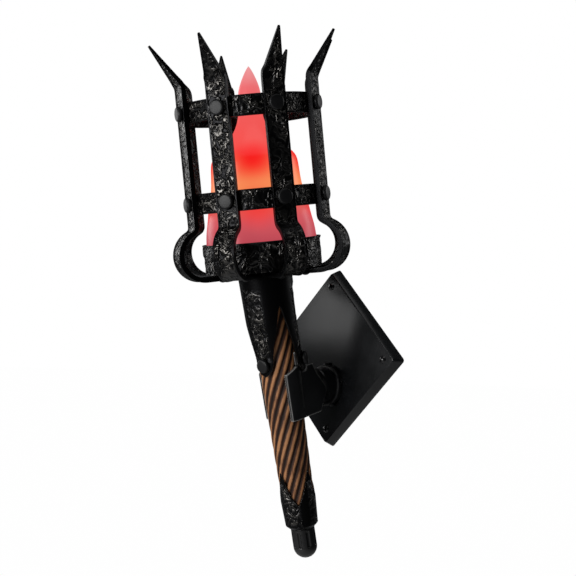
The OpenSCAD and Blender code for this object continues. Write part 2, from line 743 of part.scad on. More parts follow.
function flame_ring(r, z) =
    let (k = max(0, (z - 0.5 * glass_top) / (0.5 * glass_top)), sides = 40)
    [for (j = [0:sides - 1]) let (a = 360 * j / sides) [r * cos(a), r * sin(a) + glass_bend * k * k, z]];

module glass_shade() {
    sides = 40;
    outer = concat([[glass_foot_z, glass_r]], [for (p = flame) [p[0] * glass_top, p[1] * glass_r]]);
    m = len(outer);
    top_in = m - 4;
    rings = concat([for (p = outer) flame_ring(p[1], p[0])],
        [for (i = [top_in:-1:0]) flame_ring(outer[i][1] - glass_t, outer[i][0] - (i == 0 ? 0 : 0.5))]);
    k = len(rings);
    tip_out = k * sides;
    points = concat([for (ring = rings) for (p = ring) p],
        [[0, glass_bend, glass_top],
         [0, glass_bend * 0.7, outer[top_in][0] + 3]]);
    // rings run up the outside, then down the inside; the two ends meet at the foot
    color(flame_red, 0.75) at_head() polyhedron(points = points, convexity = 6, faces = concat(
        [for (i = [0:m - 2]) for (j = [0:sides - 1]) each quad(i, i + 1, j, sides)],
        [for (j = [0:sides - 1]) [(m - 1) * sides + j, tip_out, (m - 1) * sides + (j + 1) % sides]],
        [for (j = [0:sides - 1]) [m * sides + j, m * sides + (j + 1) % sides, tip_out + 1]],
        [for (i = [m:k - 2]) for (j = [0:sides - 1]) each quad(i, i + 1, j, sides)],
        [for (j = [0:sides - 1]) each quad(k - 1, 0, j, sides)]));
}

// Two triangles between ring a and ring b, between sides j and j + 1
function quad(a, b, j, sides) =
    let (n = (j + 1) % sides)
    [[a * sides + j, b * sides + j, b * sides + n], [a * sides + j, b * sides + n, a * sides + n]];

module shade_gasket() {
    color("#d8d4cc") at_head() difference() {
        translate([0, 0, cup_floor_z]) cylinder(r = glass_r + 0.6, h = gasket_t - 0.1);
        translate([0, 0, cup_floor_z - 1]) cylinder(r = glass_r - glass_t - 2, h = gasket_t + 2);
    }
}

// A headless slotted screw, flush with the cup's outside
module shade_screw(a) {
    tip = glass_r + 0.4;
    flush = cup_r - 0.2 - tip;
    color(satin_black) at_head() radial(a, tip, screw_z) difference() {
        cylinder(r = shade_screw_r, h = flush);
        translate([-cut / 2, -0.4, flush - 1]) cube([cut, 0.8, 3]);
    }
}

module shade_screw_1() { shade_screw(screw_angles[0]); }
module shade_screw_2() { shade_screw(screw_angles[1]); }
module shade_screw_3() { shade_screw(screw_angles[2]); }

module lamp_holder() {
    base = cup_floor_z;
    wall_in = cap_r + fit;
    color(porcelain) at_head() difference() {
        rotate_extrude() polygon([[0, base], [holder_r + 4, base], [holder_r + 4, base + 5],
            [holder_r, base + 8], [holder_r, holder_top - 1.5], [holder_r - 1.5, holder_top],
            [0, holder_top]]);
        translate([0, 0, holder_top - cap_h - 2]) cylinder(r = wall_in, h = cap_h + 3);
        translate([0, 0, base - 1]) cylinder(r = nipple_r + fit, h = 11);
        translate([0, 0, base + 9]) cylinder(r = nipple_r - 1, h = holder_h);
    }
}

module nipple() {
    low = -cup_h - neck_t - 6;
    color(brass) at_head() translate([0, 0, low]) difference() {
        cylinder(r = nipple_r, h = cup_floor_z + 9.5 - low);
        translate([0, 0, -1]) cylinder(r = nipple_r - 1.3, h = 40);
    }
}

module lock_nut() {
    t = 4;
    color(zinc) at_head() translate([0, 0, -cup_h - neck_t - t]) difference() {
        cylinder(r = 9, h = t, $fn = 6);
        translate([0, 0, -1]) cylinder(r = nipple_r + fit, h = t + 2);
    }
}

module bulb_cap() {
    color(brass) at_head() translate([0, 0, holder_top - cap_h]) rotate_extrude()
        polygon([[0, -1.6], [3, -1.6], [4, 0], [cap_r - 2, 1.5], [cap_r, 3], [cap_r, cap_h + 2], [0, cap_h + 2]]);
}

module bulb_glass() {
    z0 = holder_top + 2;
    color("#fff3df") at_head() translate([0, 0, z0]) rotate_extrude()
        polygon(concat([[0, 0], [cap_r, 0], [cap_r + 0.4, bulb_h * 0.07], [bulb_r * 0.72, bulb_h * 0.28]],
            [for (a = [-30:15:90]) [bulb_r * cos(a), bulb_h - bulb_r + bulb_r * sin(a)]]));
}

// Route of one lead on the side s: down the nipple and the shaft, back through the arm, to its cap
function lead_route(s) = concat(
    [for (z = [-19, -26, -33]) on_head([s * 1.7, 0, z])],
    [on_head([s * 1.7, 0, -40])],
    [for (z = [-20, -50, -80, -108]) on_shaft([s * 1.9, 0, z])],
    [on_shaft([s * 1.9, 0, elbow_z + 14]), on_shaft([s * 1.9, 1.2, elbow_z + 7]),
     on_shaft([s * 1.9, 4.5, elbow_z + 2.2]), on_shaft([s * 1.9, 10, elbow_z]),
     on_shaft([s * 1.9, 20, elbow_z]), on_shaft([s * 2, elbow_y - 6, elbow_z])],
    [[s * 2, -18, -arm_drop], [s * 2.2, -11, -arm_drop], [s * 4, -6.2, -arm_drop],
     [s * 8, -4.1, -arm_drop], [s * 20, -4.1, -arm_drop + 1],
     [s * (splice_out - 8), -5, -arm_drop + 1.6],
     [s * (splice_out - 3), splice_y, -arm_drop + 2], [s * splice_out, splice_y, -arm_drop + 2]]);

function unit(v) = v / norm(v);

// A tube of radius r along the points p
module lead_tube(p, r) {
    n = len(p);
    sides = 8;
    rings = [for (i = [0:n - 1])
        let (d = unit(p[min(i + 1, n - 1)] - p[max(i - 1, 0)]),
             u = unit(cross(d, [1, 0.01, 0] * (abs(d[0]) > 0.8 ? 0 : 1) + [0, 0, 1] * (abs(d[0]) > 0.8 ? 1 : 0))),
             w = cross(d, u))
        [for (j = [0:sides - 1]) p[i] + r * (u * cos(360 * j / sides) + w * sin(360 * j / sides))]];
    points = [for (ring = rings) for (q = ring) q];
    polyhedron(points = points, convexity = 4, faces = concat(
        [[for (j = [0:sides - 1]) j]],
        [for (i = [0:n - 2]) for (j = [0:sides - 1]) each lead_quad(i, j, sides)],
        [[for (j = [sides - 1:-1:0]) (n - 1) * sides + j]]));
}

function lead_quad(i, j, sides) =
    let (a = i * sides + j, b = i * sides + (j + 1) % sides)
    [[a, a + sides, b + sides], [a, b + sides, b]];

module lamp_leads() {
    color("#222222") for (s = [-1, 1]) lead_tube(lead_route(s), lead_r);
}

module splice_caps() {
    color("#d98a2b") for (s = [-1, 1])
        translate([s * splice_out, splice_y, -arm_drop + 2]) rotate([0, s * 90, 0])
            cylinder(r1 = 3.2, r2 = 2.2, h = splice_len);
}

mounting_bracket();
ground_screw();
wall_plate();
plate_screws();
arm_collar();
collar_screws();
bracket_arm();
arm_lock_ring();
shaft();
neck_socket();
neck_rivets();
foot_ferrule();
foot_rivets();
finial();
cup();
cage_strap_1();
cage_strap_2();
cage_strap_3();
cage_strap_4();
cage_strap_5();
cage_strap_6();
cage_strap_7();
cage_strap_8();
base_rivets();
lower_hoop();
upper_hoop();
lower_rivets();
upper_rivets();
glass_shade();
shade_gasket();
shade_screw_1();
shade_screw_2();
shade_screw_3();
lamp_holder();
nipple();
lock_nut();
bulb_glass();
bulb_cap();
lamp_leads();
splice_caps();
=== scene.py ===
import bpy
import bmesh
import math
from mathutils import Matrix, Vector


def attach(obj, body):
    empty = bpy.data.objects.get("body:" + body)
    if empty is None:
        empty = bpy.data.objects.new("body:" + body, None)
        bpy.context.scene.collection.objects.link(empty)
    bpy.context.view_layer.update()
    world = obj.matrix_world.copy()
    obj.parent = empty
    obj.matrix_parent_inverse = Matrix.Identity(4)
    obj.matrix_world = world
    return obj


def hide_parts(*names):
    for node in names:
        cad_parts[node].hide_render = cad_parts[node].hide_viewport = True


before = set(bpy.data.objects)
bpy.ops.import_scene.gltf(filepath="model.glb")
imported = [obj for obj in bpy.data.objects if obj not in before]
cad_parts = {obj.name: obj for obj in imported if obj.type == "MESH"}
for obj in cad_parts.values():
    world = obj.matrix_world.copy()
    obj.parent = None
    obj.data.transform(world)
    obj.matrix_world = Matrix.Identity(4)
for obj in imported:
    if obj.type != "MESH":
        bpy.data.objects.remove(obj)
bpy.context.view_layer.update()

# where things are, in metres and degrees: the head (cup and cage) and the shaft each have their own axis

head = {"out": 0.1158, "up": 0.1136, "lean": 10.8}
shaftAxis = {"lean": 15.0, "cupDepth": 0.0306}

headPlace = Matrix.Translation((0, -head["out"], head["up"])) \
    @ Matrix.Rotation(math.radians(head["lean"]), 4, "X")
underCup = headPlace @ Vector((0, 0, -shaftAxis["cupDepth"]))
shaftPlace = Matrix.Translation(underCup) @ Matrix.Rotation(math.radians(shaftAxis["lean"]), 4, "X")


def aroundAxis(degrees):
    return Matrix.Rotation(math.radians(degrees), 4, "Z")


# small helpers

def startFresh():
    if bpy.context.mode != "OBJECT":
        bpy.ops.object.mode_set(mode="OBJECT")
    bpy.ops.object.select_all(action="DESELECT")


def makeActive(piece):
    startFresh()
    piece.select_set(True)
    bpy.context.view_layer.objects.active = piece


def editAll(piece):
    makeActive(piece)
    bpy.ops.object.mode_set(mode="EDIT")
    bpy.ops.mesh.select_all(action="SELECT")


# in edit mode, these select the faces, edges or points that wanted() is true for
def pickFaces(piece, wanted):
    mesh = bmesh.from_edit_mesh(piece.data)
    for face in mesh.faces:
        face.select_set(False)
    for face in mesh.faces:
        if wanted(face):
            face.select_set(True)
    bmesh.update_edit_mesh(piece.data)


def pickEdges(piece, wanted):
    mesh = bmesh.from_edit_mesh(piece.data)
    bpy.ops.mesh.select_all(action="DESELECT")
    for edge in mesh.edges:
        if wanted(edge):
            edge.select_set(True)
    bmesh.update_edit_mesh(piece.data)


def pickVerts(piece, wanted):
    mesh = bmesh.from_edit_mesh(piece.data)
    bpy.ops.mesh.select_all(action="DESELECT")
    for vert in mesh.verts:
        if wanted(vert.co):
            vert.select_set(True)
    mesh.select_flush_mode()
    bmesh.update_edit_mesh(piece.data)


def applyModifier(piece, kind, **settings):
    makeActive(piece)
    modifier = piece.modifiers.new(kind.lower(), kind)
    for name, value in settings.items():
        setattr(modifier, name, value)
    bpy.ops.object.modifier_apply(modifier=modifier.name)


def tidyNormals(piece):  # doubles first, then every face outwards
    editAll(piece)
    bpy.ops.mesh.remove_doubles(threshold=0.00001)
    bpy.ops.mesh.normals_make_consistent(inside=False)
    startFresh()


def smoothShade(piece, angle):
    makeActive(piece)
    bpy.ops.object.shade_smooth_by_angle(angle=math.radians(angle))


def copyOf(piece, name, place):
    twin = piece.copy()
    twin.data = piece.data.copy()
    twin.name = twin.data.name = name
    bpy.context.scene.collection.objects.link(twin)
    twin.data.transform(place)
    return twin


def joined(pieces, name):
    startFresh()
    for piece in pieces:
        piece.select_set(True)
    bpy.context.view_layer.objects.active = pieces[0]
    bpy.ops.object.join()
    pieces[0].name = pieces[0].data.name = name
    return pieces[0]


# gives a finished piece its material and the body that it moves with, and hides the node that it replaces
def settle(piece, material, body, slot, node):
    piece.data.materials.clear()
    piece.data.materials.append(material)
    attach(piece, body)
    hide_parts(node)


# colours and materials

def colour(hexValue):  # an sRGB hex value, as the linear colour that a shader takes
    parts = [int(hexValue[i:i + 2], 16) / 255 for i in (1, 3, 5)]
    return [p / 12.92 if p <= 0.04045 else ((p + 0.055) / 1.055) ** 2.4 for p in parts] + [1.0]


def addNode(tree, kind, settings=None, values=None, links=None):
    made = tree.nodes.new(kind)
    for name, value in (settings or {}).items():
        setattr(made, name, value)
    for name, value in (values or {}).items():
        made.inputs[name].default_value = value
    for name, source in (links or {}).items():
        tree.links.new(source[0].outputs[source[1]], made.inputs[name])
    return made


def newMaterial(name, **values):
    material = bpy.data.materials.new(name)
    material.use_nodes = True
    tree = material.node_tree
    shader = tree.nodes["Principled BSDF"]
    for socket, value in values.items():
        shader.inputs[socket].default_value = value
    return material, tree, shader


def rampStops(ramp, stops):
    while len(ramp.color_ramp.elements) < len(stops):
        ramp.color_ramp.elements.new(0.5)
    for element, (place, hexValue) in zip(ramp.color_ramp.elements, stops):
        element.position = place
        element.color = colour(hexValue)


def setLook(tree, shader, socket, node, output):
    tree.links.new(node.outputs[output], shader.inputs[socket])


def rubbedEdges(tree, low, high, most):  # 0 on flats, up to most along the edges that hands and cloths rub
    edge = addNode(tree, "ShaderNodeNewGeometry")
    return addNode(tree, "ShaderNodeMapRange", {}, {"From Min": low, "From Max": high, "To Max": most},
                   {"Value": (edge, "Pointiness")})


# Hammered iron, blackened and waxed: wrinkled scale, black in its hollows, that glints along its ridges
iron = {"hollow": "#0e0e0f", "flat": "#1f1f20", "worn": "#4b4946", "wrinkle": 0.0088, "ridgeWidth": 0.16,
        "fine": 0.0026, "fineShare": 0.25, "patch": 0.030, "relief": 0.0026}


def hammeredIron():
    material, tree, shader = newMaterial("hammeredIronWaxed", Metallic=0.95)
    place = addNode(tree, "ShaderNodeTexCoord")
    wrinkle = addNode(tree, "ShaderNodeTexNoise", {},
                      {"Scale": 1 / iron["wrinkle"], "Detail": 1.3, "Distortion": 0.9},
                      {"Vector": (place, "Object")})
    middle = addNode(tree, "ShaderNodeMath", {"operation": "SUBTRACT"}, {1: 0.5}, {0: (wrinkle, "Fac")})
    offRidge = addNode(tree, "ShaderNodeMath", {"operation": "ABSOLUTE"}, {}, {0: (middle, "Value")})
    ridge = addNode(tree, "ShaderNodeMapRange", {"interpolation_type": "SMOOTHSTEP"},
                    {"From Max": iron["ridgeWidth"], "To Min": 1.0, "To Max": 0.0},
                    {"Value": (offRidge, "Value")})
    fine = addNode(tree, "ShaderNodeTexNoise", {}, {"Scale": 1 / iron["fine"], "Detail": 2.0},
                   {"Vector": (place, "Object")})
    patch = addNode(tree, "ShaderNodeTexNoise", {}, {"Scale": 1 / iron["patch"], "Detail": 1.0},
                    {"Vector": (place, "Object")})
    height = addNode(tree, "ShaderNodeMath", {"operation": "MULTIPLY_ADD"}, {1: iron["fineShare"]},
                     {0: (fine, "Fac"), 2: (ridge, "Result")})
    smoothed = addNode(tree, "ShaderNodeAttribute", {"attribute_name": "smoothed"})
    worked = addNode(tree, "ShaderNodeMath", {"operation": "SUBTRACT"}, {0: 1.0}, {1: (smoothed, "Fac")})
    relief = addNode(tree, "ShaderNodeMath", {"operation": "MULTIPLY"}, {},
                     {0: (height, "Value"), 1: (worked, "Value")})
    wear = addNode(tree, "ShaderNodeMath", {"operation": "MULTIPLY"}, {},
                   {0: (relief, "Value"), 1: (patch, "Fac")})
    rubbed = rubbedEdges(tree, 0.515, 0.57, 0.6)
    wear = addNode(tree, "ShaderNodeMath", {"operation": "ADD"}, {},
                   {0: (wear, "Value"), 1: (rubbed, "Result")})
    tint = addNode(tree, "ShaderNodeValToRGB", {}, {}, {"Fac": (wear, "Value")})
    rampStops(tint, [(0.0, iron["hollow"]), (0.25, iron["flat"]), (0.7, iron["worn"])])
    setLook(tree, shader, "Base Color", tint, "Color")
    rough = addNode(tree, "ShaderNodeMapRange", {},
                    {"From Min": 0.1, "From Max": 0.6, "To Min": 0.36, "To Max": 0.2},
                    {"Value": (wear, "Value")})
    setLook(tree, shader, "Roughness", rough, "Result")
    beaten = addNode(tree, "ShaderNodeMapRange", {},
                     {"From Min": 0.35, "From Max": 0.6, "To Min": 0.25, "To Max": 1.0},
                     {"Value": (patch, "Fac")})
    bump = addNode(tree, "ShaderNodeBump", {}, {"Distance": iron["relief"]},
                   {"Height": (relief, "Value"), "Strength": (beaten, "Result")})
    setLook(tree, shader, "Normal", bump, "Normal")
    return material


# Iron in baked black paint, with a faint orange peel: satin on the plate, glossy on the finial and screws,
# dull on rivets, and rubbed to bare metal along the edges of the smooth forged saddle
paints = {
    "satinBlackPaint": {"black": "#060708", "thin": "#0e0f11", "rough": (0.2, 0.28), "peel": 0.0018,
                        "relief": 0.00006, "shine": 0.35},
    "smoothForgedIron": {"black": "#08090a", "thin": "#131315", "rough": (0.26, 0.36), "peel": 0.0026,
                         "relief": 0.00012, "shine": 0.35, "rubbed": "#8d8c8a"},
    "glossBlackPaint": {"black": "#040405", "thin": "#0b0b0c", "rough": (0.1, 0.18), "peel": 0.003,
                        "relief": 0.00003, "shine": 0.4},
    "rivetBlackPaint": {"black": "#070708", "thin": "#161617", "rough": (0.36, 0.5), "peel": 0.0012,
                        "relief": 0.0001, "shine": 0.2},
}
paintCloud = 1 / 45  # metres across a paler cloud in the paint


def blackPaint(name):
    facts = paints[name]
    material, tree, shader = newMaterial(name, Metallic=0.0)
    shader.inputs["Specular IOR Level"].default_value = facts["shine"]
    place = addNode(tree, "ShaderNodeTexCoord")
    cloud = addNode(tree, "ShaderNodeTexNoise", {}, {"Scale": 1 / paintCloud, "Detail": 3.0},
                    {"Vector": (place, "Object")})
    tint = addNode(tree, "ShaderNodeValToRGB", {}, {}, {"Fac": (cloud, "Fac")})
    rampStops(tint, [(0.3, facts["black"]), (0.75, facts["thin"])])
    setLook(tree, shader, "Base Color", tint, "Color")
    if "rubbed" in facts:
        edge = rubbedEdges(tree, 0.51, 0.55, 0.9)
        bare = addNode(tree, "ShaderNodeMix", {"data_type": "RGBA"}, {7: colour(facts["rubbed"])},
                       {0: (edge, "Result"), 6: (tint, "Color")})
        setLook(tree, shader, "Base Color", bare, 2)
    rough = addNode(tree, "ShaderNodeMapRange", {},
                    {"To Min": facts["rough"][0], "To Max": facts["rough"][1]}, {"Value": (cloud, "Fac")})
    setLook(tree, shader, "Roughness", rough, "Result")
    peel = addNode(tree, "ShaderNodeTexNoise", {}, {"Scale": 1 / facts["peel"], "Detail": 1.0},
                   {"Vector": (place, "Object")})
    bump = addNode(tree, "ShaderNodeBump", {}, {"Strength": 0.5, "Distance": facts["relief"]},
                   {"Height": (peel, "Fac")})
    setLook(tree, shader, "Normal", bump, "Normal")
    return material


# Turned oak, stained and oiled: pale crests, and painted shade, near black, down in the grooves.
# The fibre is coarser than oak's pores, so that it shows
wood = {"grooveShade": "#140904", "stain": "#3e2112", "crest": "#a0704b", "fibre": 0.0011, "figure": 0.03,
        "stretch": 0.06, "fibreShare": 0.3, "figureShare": 0.7}


def stainedOak():
    material, tree, shader = newMaterial("stainedOak", Metallic=0.0)
    shader.inputs["Specular IOR Level"].default_value = 0.25
    place = addNode(tree, "ShaderNodeTexCoord")
    along = addNode(tree, "ShaderNodeMapping", {"vector_type": "TEXTURE"},
                    {"Rotation": (math.radians(shaftAxis["lean"]), 0, 0)}, {"Vector": (place, "Object")})
    stretch = addNode(tree, "ShaderNodeMapping", {}, {"Scale": (1.0, 1.0, wood["stretch"])},
                      {"Vector": (along, "Vector")})
    fibre = addNode(tree, "ShaderNodeTexNoise", {},
                    {"Scale": 1 / wood["fibre"], "Detail": 3.0, "Roughness": 0.6},
                    {"Vector": (stretch, "Vector")})
    figure = addNode(tree, "ShaderNodeTexNoise", {}, {"Scale": 1 / wood["figure"], "Detail": 2.0},
                     {"Vector": (along, "Vector")})
    crest = addNode(tree, "ShaderNodeAttribute", {"attribute_name": "crest"})
    streak = addNode(tree, "ShaderNodeMath", {"operation": "MULTIPLY_ADD"},
                     {1: wood["fibreShare"], 2: -wood["fibreShare"] / 2}, {0: (fibre, "Fac")})
    lift = addNode(tree, "ShaderNodeMath", {"operation": "ADD"}, {},
                   {0: (streak, "Value"), 1: (crest, "Fac")})
    cloud = addNode(tree, "ShaderNodeMath", {"operation": "MULTIPLY_ADD"},
                    {1: wood["figureShare"], 2: -wood["figureShare"] / 2}, {0: (figure, "Fac")})
    mix = addNode(tree, "ShaderNodeMath", {"operation": "ADD"}, {}, {0: (lift, "Value"), 1: (cloud, "Value")})
    # the ramp paints shade down in the grooves, where the crest attribute is low
    tint = addNode(tree, "ShaderNodeValToRGB", {}, {}, {"Fac": (mix, "Value")})
    rampStops(tint, [(0.3, wood["grooveShade"]), (0.78, wood["stain"]), (1.0, wood["crest"])])
    setLook(tree, shader, "Base Color", tint, "Color")
    rough = addNode(tree, "ShaderNodeMapRange", {}, {"From Min": 0.5, "To Min": 0.75, "To Max": 0.36},
                    {"Value": (mix, "Value")})
    setLook(tree, shader, "Roughness", rough, "Result")
    bump = addNode(tree, "ShaderNodeBump", {}, {"Strength": 0.35, "Distance": 0.0002},
                   {"Height": (fibre, "Fac")})
    setLook(tree, shader, "Normal", bump, "Normal")
    return material


# Cased red glass lit by the bulb behind it, and that light is painted into it as a glow: orange by the bulb,
# deep red painted glow spots, paler at the tip; its skin is satin, so it only has soft lights on it.
# Swirl and ripple are metres across
flameGlow = {"height": 0.172, "strength": 0.92, "glass": "#3a0709", "swirl": 1 / 22, "ripple": 1 / 60,
             "rise": [(0.0, "#c04c58"), (0.12, "#d65a62"), (0.2, "#ee6458"), (0.29, "#ff985c"),
                      (0.38, "#ff8054"), (0.5, "#fb524c"), (0.72, "#f95e5c"), (0.88, "#f27276"),
                      (1.0, "#f0a0a2")],  # up the flame, as shares of its height
             "hearts": [  # a place that repeats on four sides, then its reach, colour and share
                 ((0.026, 0.026, 0.079), 0.027, "#ff1818", 0.95),
                 ((0.030, 0.030, 0.033), 0.030, "#fb3838", 0.8)]}


def flameGlass():
    material, tree, shader = newMaterial("casedRedGlass", Metallic=0.0, Roughness=0.34, IOR=1.5)
    shader.inputs["Base Color"].default_value = colour(flameGlow["glass"])
    shader.inputs["Specular IOR Level"].default_value = 0.18
    place = addNode(tree, "ShaderNodeTexCoord")
    inHead = addNode(tree, "ShaderNodeMapping", {"vector_type": "TEXTURE"},
                     {"Location": (0, -head["out"], head["up"]),
                      "Rotation": (math.radians(head["lean"]), 0, 0)}, {"Vector": (place, "Object")})
    split = addNode(tree, "ShaderNodeSeparateXYZ", {}, {}, {"Vector": (inHead, "Vector")})
    swirl = addNode(tree, "ShaderNodeTexNoise", {}, {"Scale": 1 / flameGlow["swirl"], "Detail": 2.0},
                    {"Vector": (inHead, "Vector")})
    height = addNode(tree, "ShaderNodeMapRange", {}, {"From Min": 0.0, "From Max": flameGlow["height"]},
                     {"Value": (split, "Z")})
    waver = addNode(tree, "ShaderNodeMath", {"operation": "MULTIPLY_ADD"}, {1: 0.1, 2: -0.05},
                    {0: (swirl, "Fac")})
    level = addNode(tree, "ShaderNodeMath", {"operation": "ADD"}, {},
                    {0: (height, "Result"), 1: (waver, "Value")})
    tint = addNode(tree, "ShaderNodeValToRGB", {}, {}, {"Fac": (level, "Value")})
    rampStops(tint, flameGlow["rise"])
    glow = (tint, "Color")
    folded = addNode(tree, "ShaderNodeVectorMath", {"operation": "ABSOLUTE"}, {}, {0: (inHead, "Vector")})
    # deep red spots painted into the glow, each repeated on four sides
    for middle, reach, spotColour, share in flameGlow["hearts"]:
        away = addNode(tree, "ShaderNodeVectorMath", {"operation": "DISTANCE"}, {1: middle},
                       {0: (folded, "Vector")})
        near = addNode(tree, "ShaderNodeMapRange", {"interpolation_type": "SMOOTHSTEP"},
                       {"From Min": 0.004, "From Max": reach, "To Min": share, "To Max": 0.0},
                       {"Value": (away, "Value")})
        heart = addNode(tree, "ShaderNodeMix", {"data_type": "RGBA"}, {7: colour(spotColour)},
                        {0: (near, "Result"), 6: glow})
        glow = (heart, 2)
    # the emission colour is painted glow: the bulb's light shining through the glass
    setLook(tree, shader, "Emission Color", *glow)
    shader.inputs["Emission Strength"].default_value = flameGlow["strength"]
    ripple = addNode(tree, "ShaderNodeTexNoise", {}, {"Scale": 1 / flameGlow["ripple"], "Detail": 1.0},
                     {"Vector": (inHead, "Vector")})
    bump = addNode(tree, "ShaderNodeBump", {}, {"Strength": 0.15, "Distance": 0.0006},
                   {"Height": (ripple, "Fac")})
    setLook(tree, shader, "Normal", bump, "Normal")
    return material


# Plain finishes of the pieces inside, each named for what it is. One grain mottles colour, roughness and
# relief: coarse on zinc plate, soft clouds in glaze and frosted glass, a fine haze on rubber and plastic
smallFinishes = {
    "zincPlatedSteel": {"low": "#8f9296", "high": "#c3c6ca", "metallic": 1.0, "rough": (0.25, 0.42),
                        "grain": 0.004},
    "yellowBrass": {"low": "#a98238", "high": "#cfa85a", "metallic": 1.0, "rough": (0.2, 0.36),
                    "grain": 0.003},
    "glazedPorcelain": {"low": "#e4e0d6", "high": "#f3f0e8", "metallic": 0.0, "rough": (0.12, 0.2),
                        "grain": 0.006},
    "siliconeRubber": {"low": "#c9c5bc", "high": "#dcd9d1", "metallic": 0.0, "rough": (0.55, 0.7),
                       "grain": 0.002},
    "leadInsulation": {"low": "#17181a", "high": "#2a2b2e", "metallic": 0.0, "rough": (0.4, 0.55),
                       "grain": 0.003},
    "nylonCap": {"low": "#c87a22", "high": "#dd9236", "metallic": 0.0, "rough": (0.35, 0.5), "grain": 0.004},
    "greenPaintedSteel": {"low": "#1f6a3a", "high": "#2f8a4c", "metallic": 0.0, "rough": (0.3, 0.45),
                          "grain": 0.002},
    "frostedBulbGlass": {"low": "#efe6d6", "high": "#fff4e2", "metallic": 0.0, "rough": (0.35, 0.5),
                         "grain": 0.008, "glow": "#ffd9a8", "strength": 1.5},
}


def smallFinish(name):
    facts = smallFinishes[name]
    material, tree, shader = newMaterial(name, Metallic=facts["metallic"])
    place = addNode(tree, "ShaderNodeTexCoord")
    cloud = addNode(tree, "ShaderNodeTexNoise", {}, {"Scale": 1 / facts["grain"], "Detail": 3.0},
                    {"Vector": (place, "Object")})
    tint = addNode(tree, "ShaderNodeValToRGB", {}, {}, {"Fac": (cloud, "Fac")})
    rampStops(tint, [(0.35, facts["low"]), (0.65, facts["high"])])
    setLook(tree, shader, "Base Color", tint, "Color")
    rough = addNode(tree, "ShaderNodeMapRange", {},
                    {"To Min": facts["rough"][0], "To Max": facts["rough"][1]}, {"Value": (cloud, "Fac")})
    setLook(tree, shader, "Roughness", rough, "Result")
    bump = addNode(tree, "ShaderNodeBump", {}, {"Strength": 0.15, "Distance": 0.0001},
                   {"Height": (cloud, "Fac")})
    setLook(tree, shader, "Normal", bump, "Normal")
    if "glow" in facts:
        shader.inputs["Emission Color"].default_value = colour(facts["glow"])
        shader.inputs["Emission Strength"].default_value = facts["strength"]
    return material


ironLook = hammeredIron()
paintLook = blackPaint("satinBlackPaint")
glossLook = blackPaint("glossBlackPaint")
rivetLook = blackPaint("rivetBlackPaint")
saddleLook = blackPaint("smoothForgedIron")
woodLook = stainedOak()
glassLook = flameGlass()
looks = {name: smallFinish(name) for name in smallFinishes}
print("materials ready")

# hammer marks: real relief; blows only go inwards, and lumps rise by 0.2 mm at most

hammer = {"blow": 0.0075, "blowDepth": 0.0010, "lump": 0.0034, "lumpDepth": 0.0007, "lumpLevel": 0.8}


def hammerTexture(name, kind, size, **settings):
    texture = bpy.data.textures.new(name, kind)
    texture.noise_scale = size
    for key, value in settings.items():
        setattr(texture, key, value)
    return texture


# the second nearest point less the nearest one: each cell stays up, and the lines between cells are sunk
blowTexture = hammerTexture("blow", "VORONOI", hammer["blow"], distance_metric="DISTANCE", weight_1=-1.0,
                            weight_2=1.0, noise_intensity=1.6)
lumpTexture = hammerTexture("lump", "CLOUDS", hammer["lump"], noise_depth=1, noise_basis="ORIGINAL_PERLIN")


def keepSmooth(piece, rule):  # rule(point) is 1 or more where the hammer didn't go, such as along an edge
    shares = [max(0.0, min(1.0, rule(vert.co))) for vert in piece.data.vertices]
    piece.data.attributes.new("smoothed", "FLOAT", "POINT").data.foreach_set("value", shares)
    beaten = piece.vertex_groups.new(name="beaten")
    for count, share in enumerate(shares):
        beaten.add([count], 1.0 - share, "REPLACE")


def hammered(piece, blows, lumps):
    group = "beaten" if "beaten" in piece.vertex_groups else ""
    if blows:
        applyModifier(piece, "DISPLACE", texture=blowTexture, texture_coords="LOCAL", mid_level=1.0,
                      strength=hammer["blowDepth"] * blows, vertex_group=group)
    if lumps:
        applyModifier(piece, "DISPLACE", texture=lumpTexture, texture_coords="LOCAL",
                      mid_level=hammer["lumpLevel"], strength=hammer["lumpDepth"] * lumps, vertex_group=group)


# turned pieces: a ring that is drawn out from point to point, each a radius and a height, and its shift
# towards the wall where it has one
smallestRing = 0.00001


def turned(name, points, around, shifts=None, closeLoop=False):
    startFresh()
    bpy.ops.mesh.primitive_circle_add(vertices=around, radius=points[0][0], location=(0, 0, points[0][1]))
    piece = bpy.context.object
    piece.name = piece.data.name = name
    makeActive(piece)
    bpy.ops.object.transform_apply(location=True, rotation=True, scale=True)
    bpy.ops.object.mode_set(mode="EDIT")
    bpy.ops.mesh.select_all(action="SELECT")
    last = points[0]
    lastShift = shifts[0] if shifts else 0.0
    for count, (radius, height) in enumerate(points[1:], 1):
        shift = shifts[count] if shifts else 0.0
        bpy.ops.mesh.extrude_region_move(
            TRANSFORM_OT_translate={"value": (0, shift - lastShift, height - last[1])})
        factor = max(radius, smallestRing) / last[0]
        bpy.ops.transform.resize(value=(factor, factor, 1), center_override=(0, shift, height))
        last = (max(radius, smallestRing), height)
        lastShift = shift
    if points[-1][0] == 0:
        bpy.ops.mesh.merge(type="CENTER")
    if closeLoop:
        bpy.ops.mesh.select_all(action="DESELECT")
        bpy.ops.mesh.select_non_manifold()
        bpy.ops.mesh.bridge_edge_loops()
    bpy.ops.mesh.select_all(action="SELECT")
    bpy.ops.mesh.normals_make_consistent(inside=False)
    startFresh()
    return piece


def between(start, end, steps):  # points from start to end, without start
    return [(start[0] + (end[0] - start[0]) * i / steps, start[1] + (end[1] - start[1]) * i / steps)
            for i in range(1, steps + 1)]


# the cage's straps: one bar drawn along its path, then eight copies with their own hammer marks

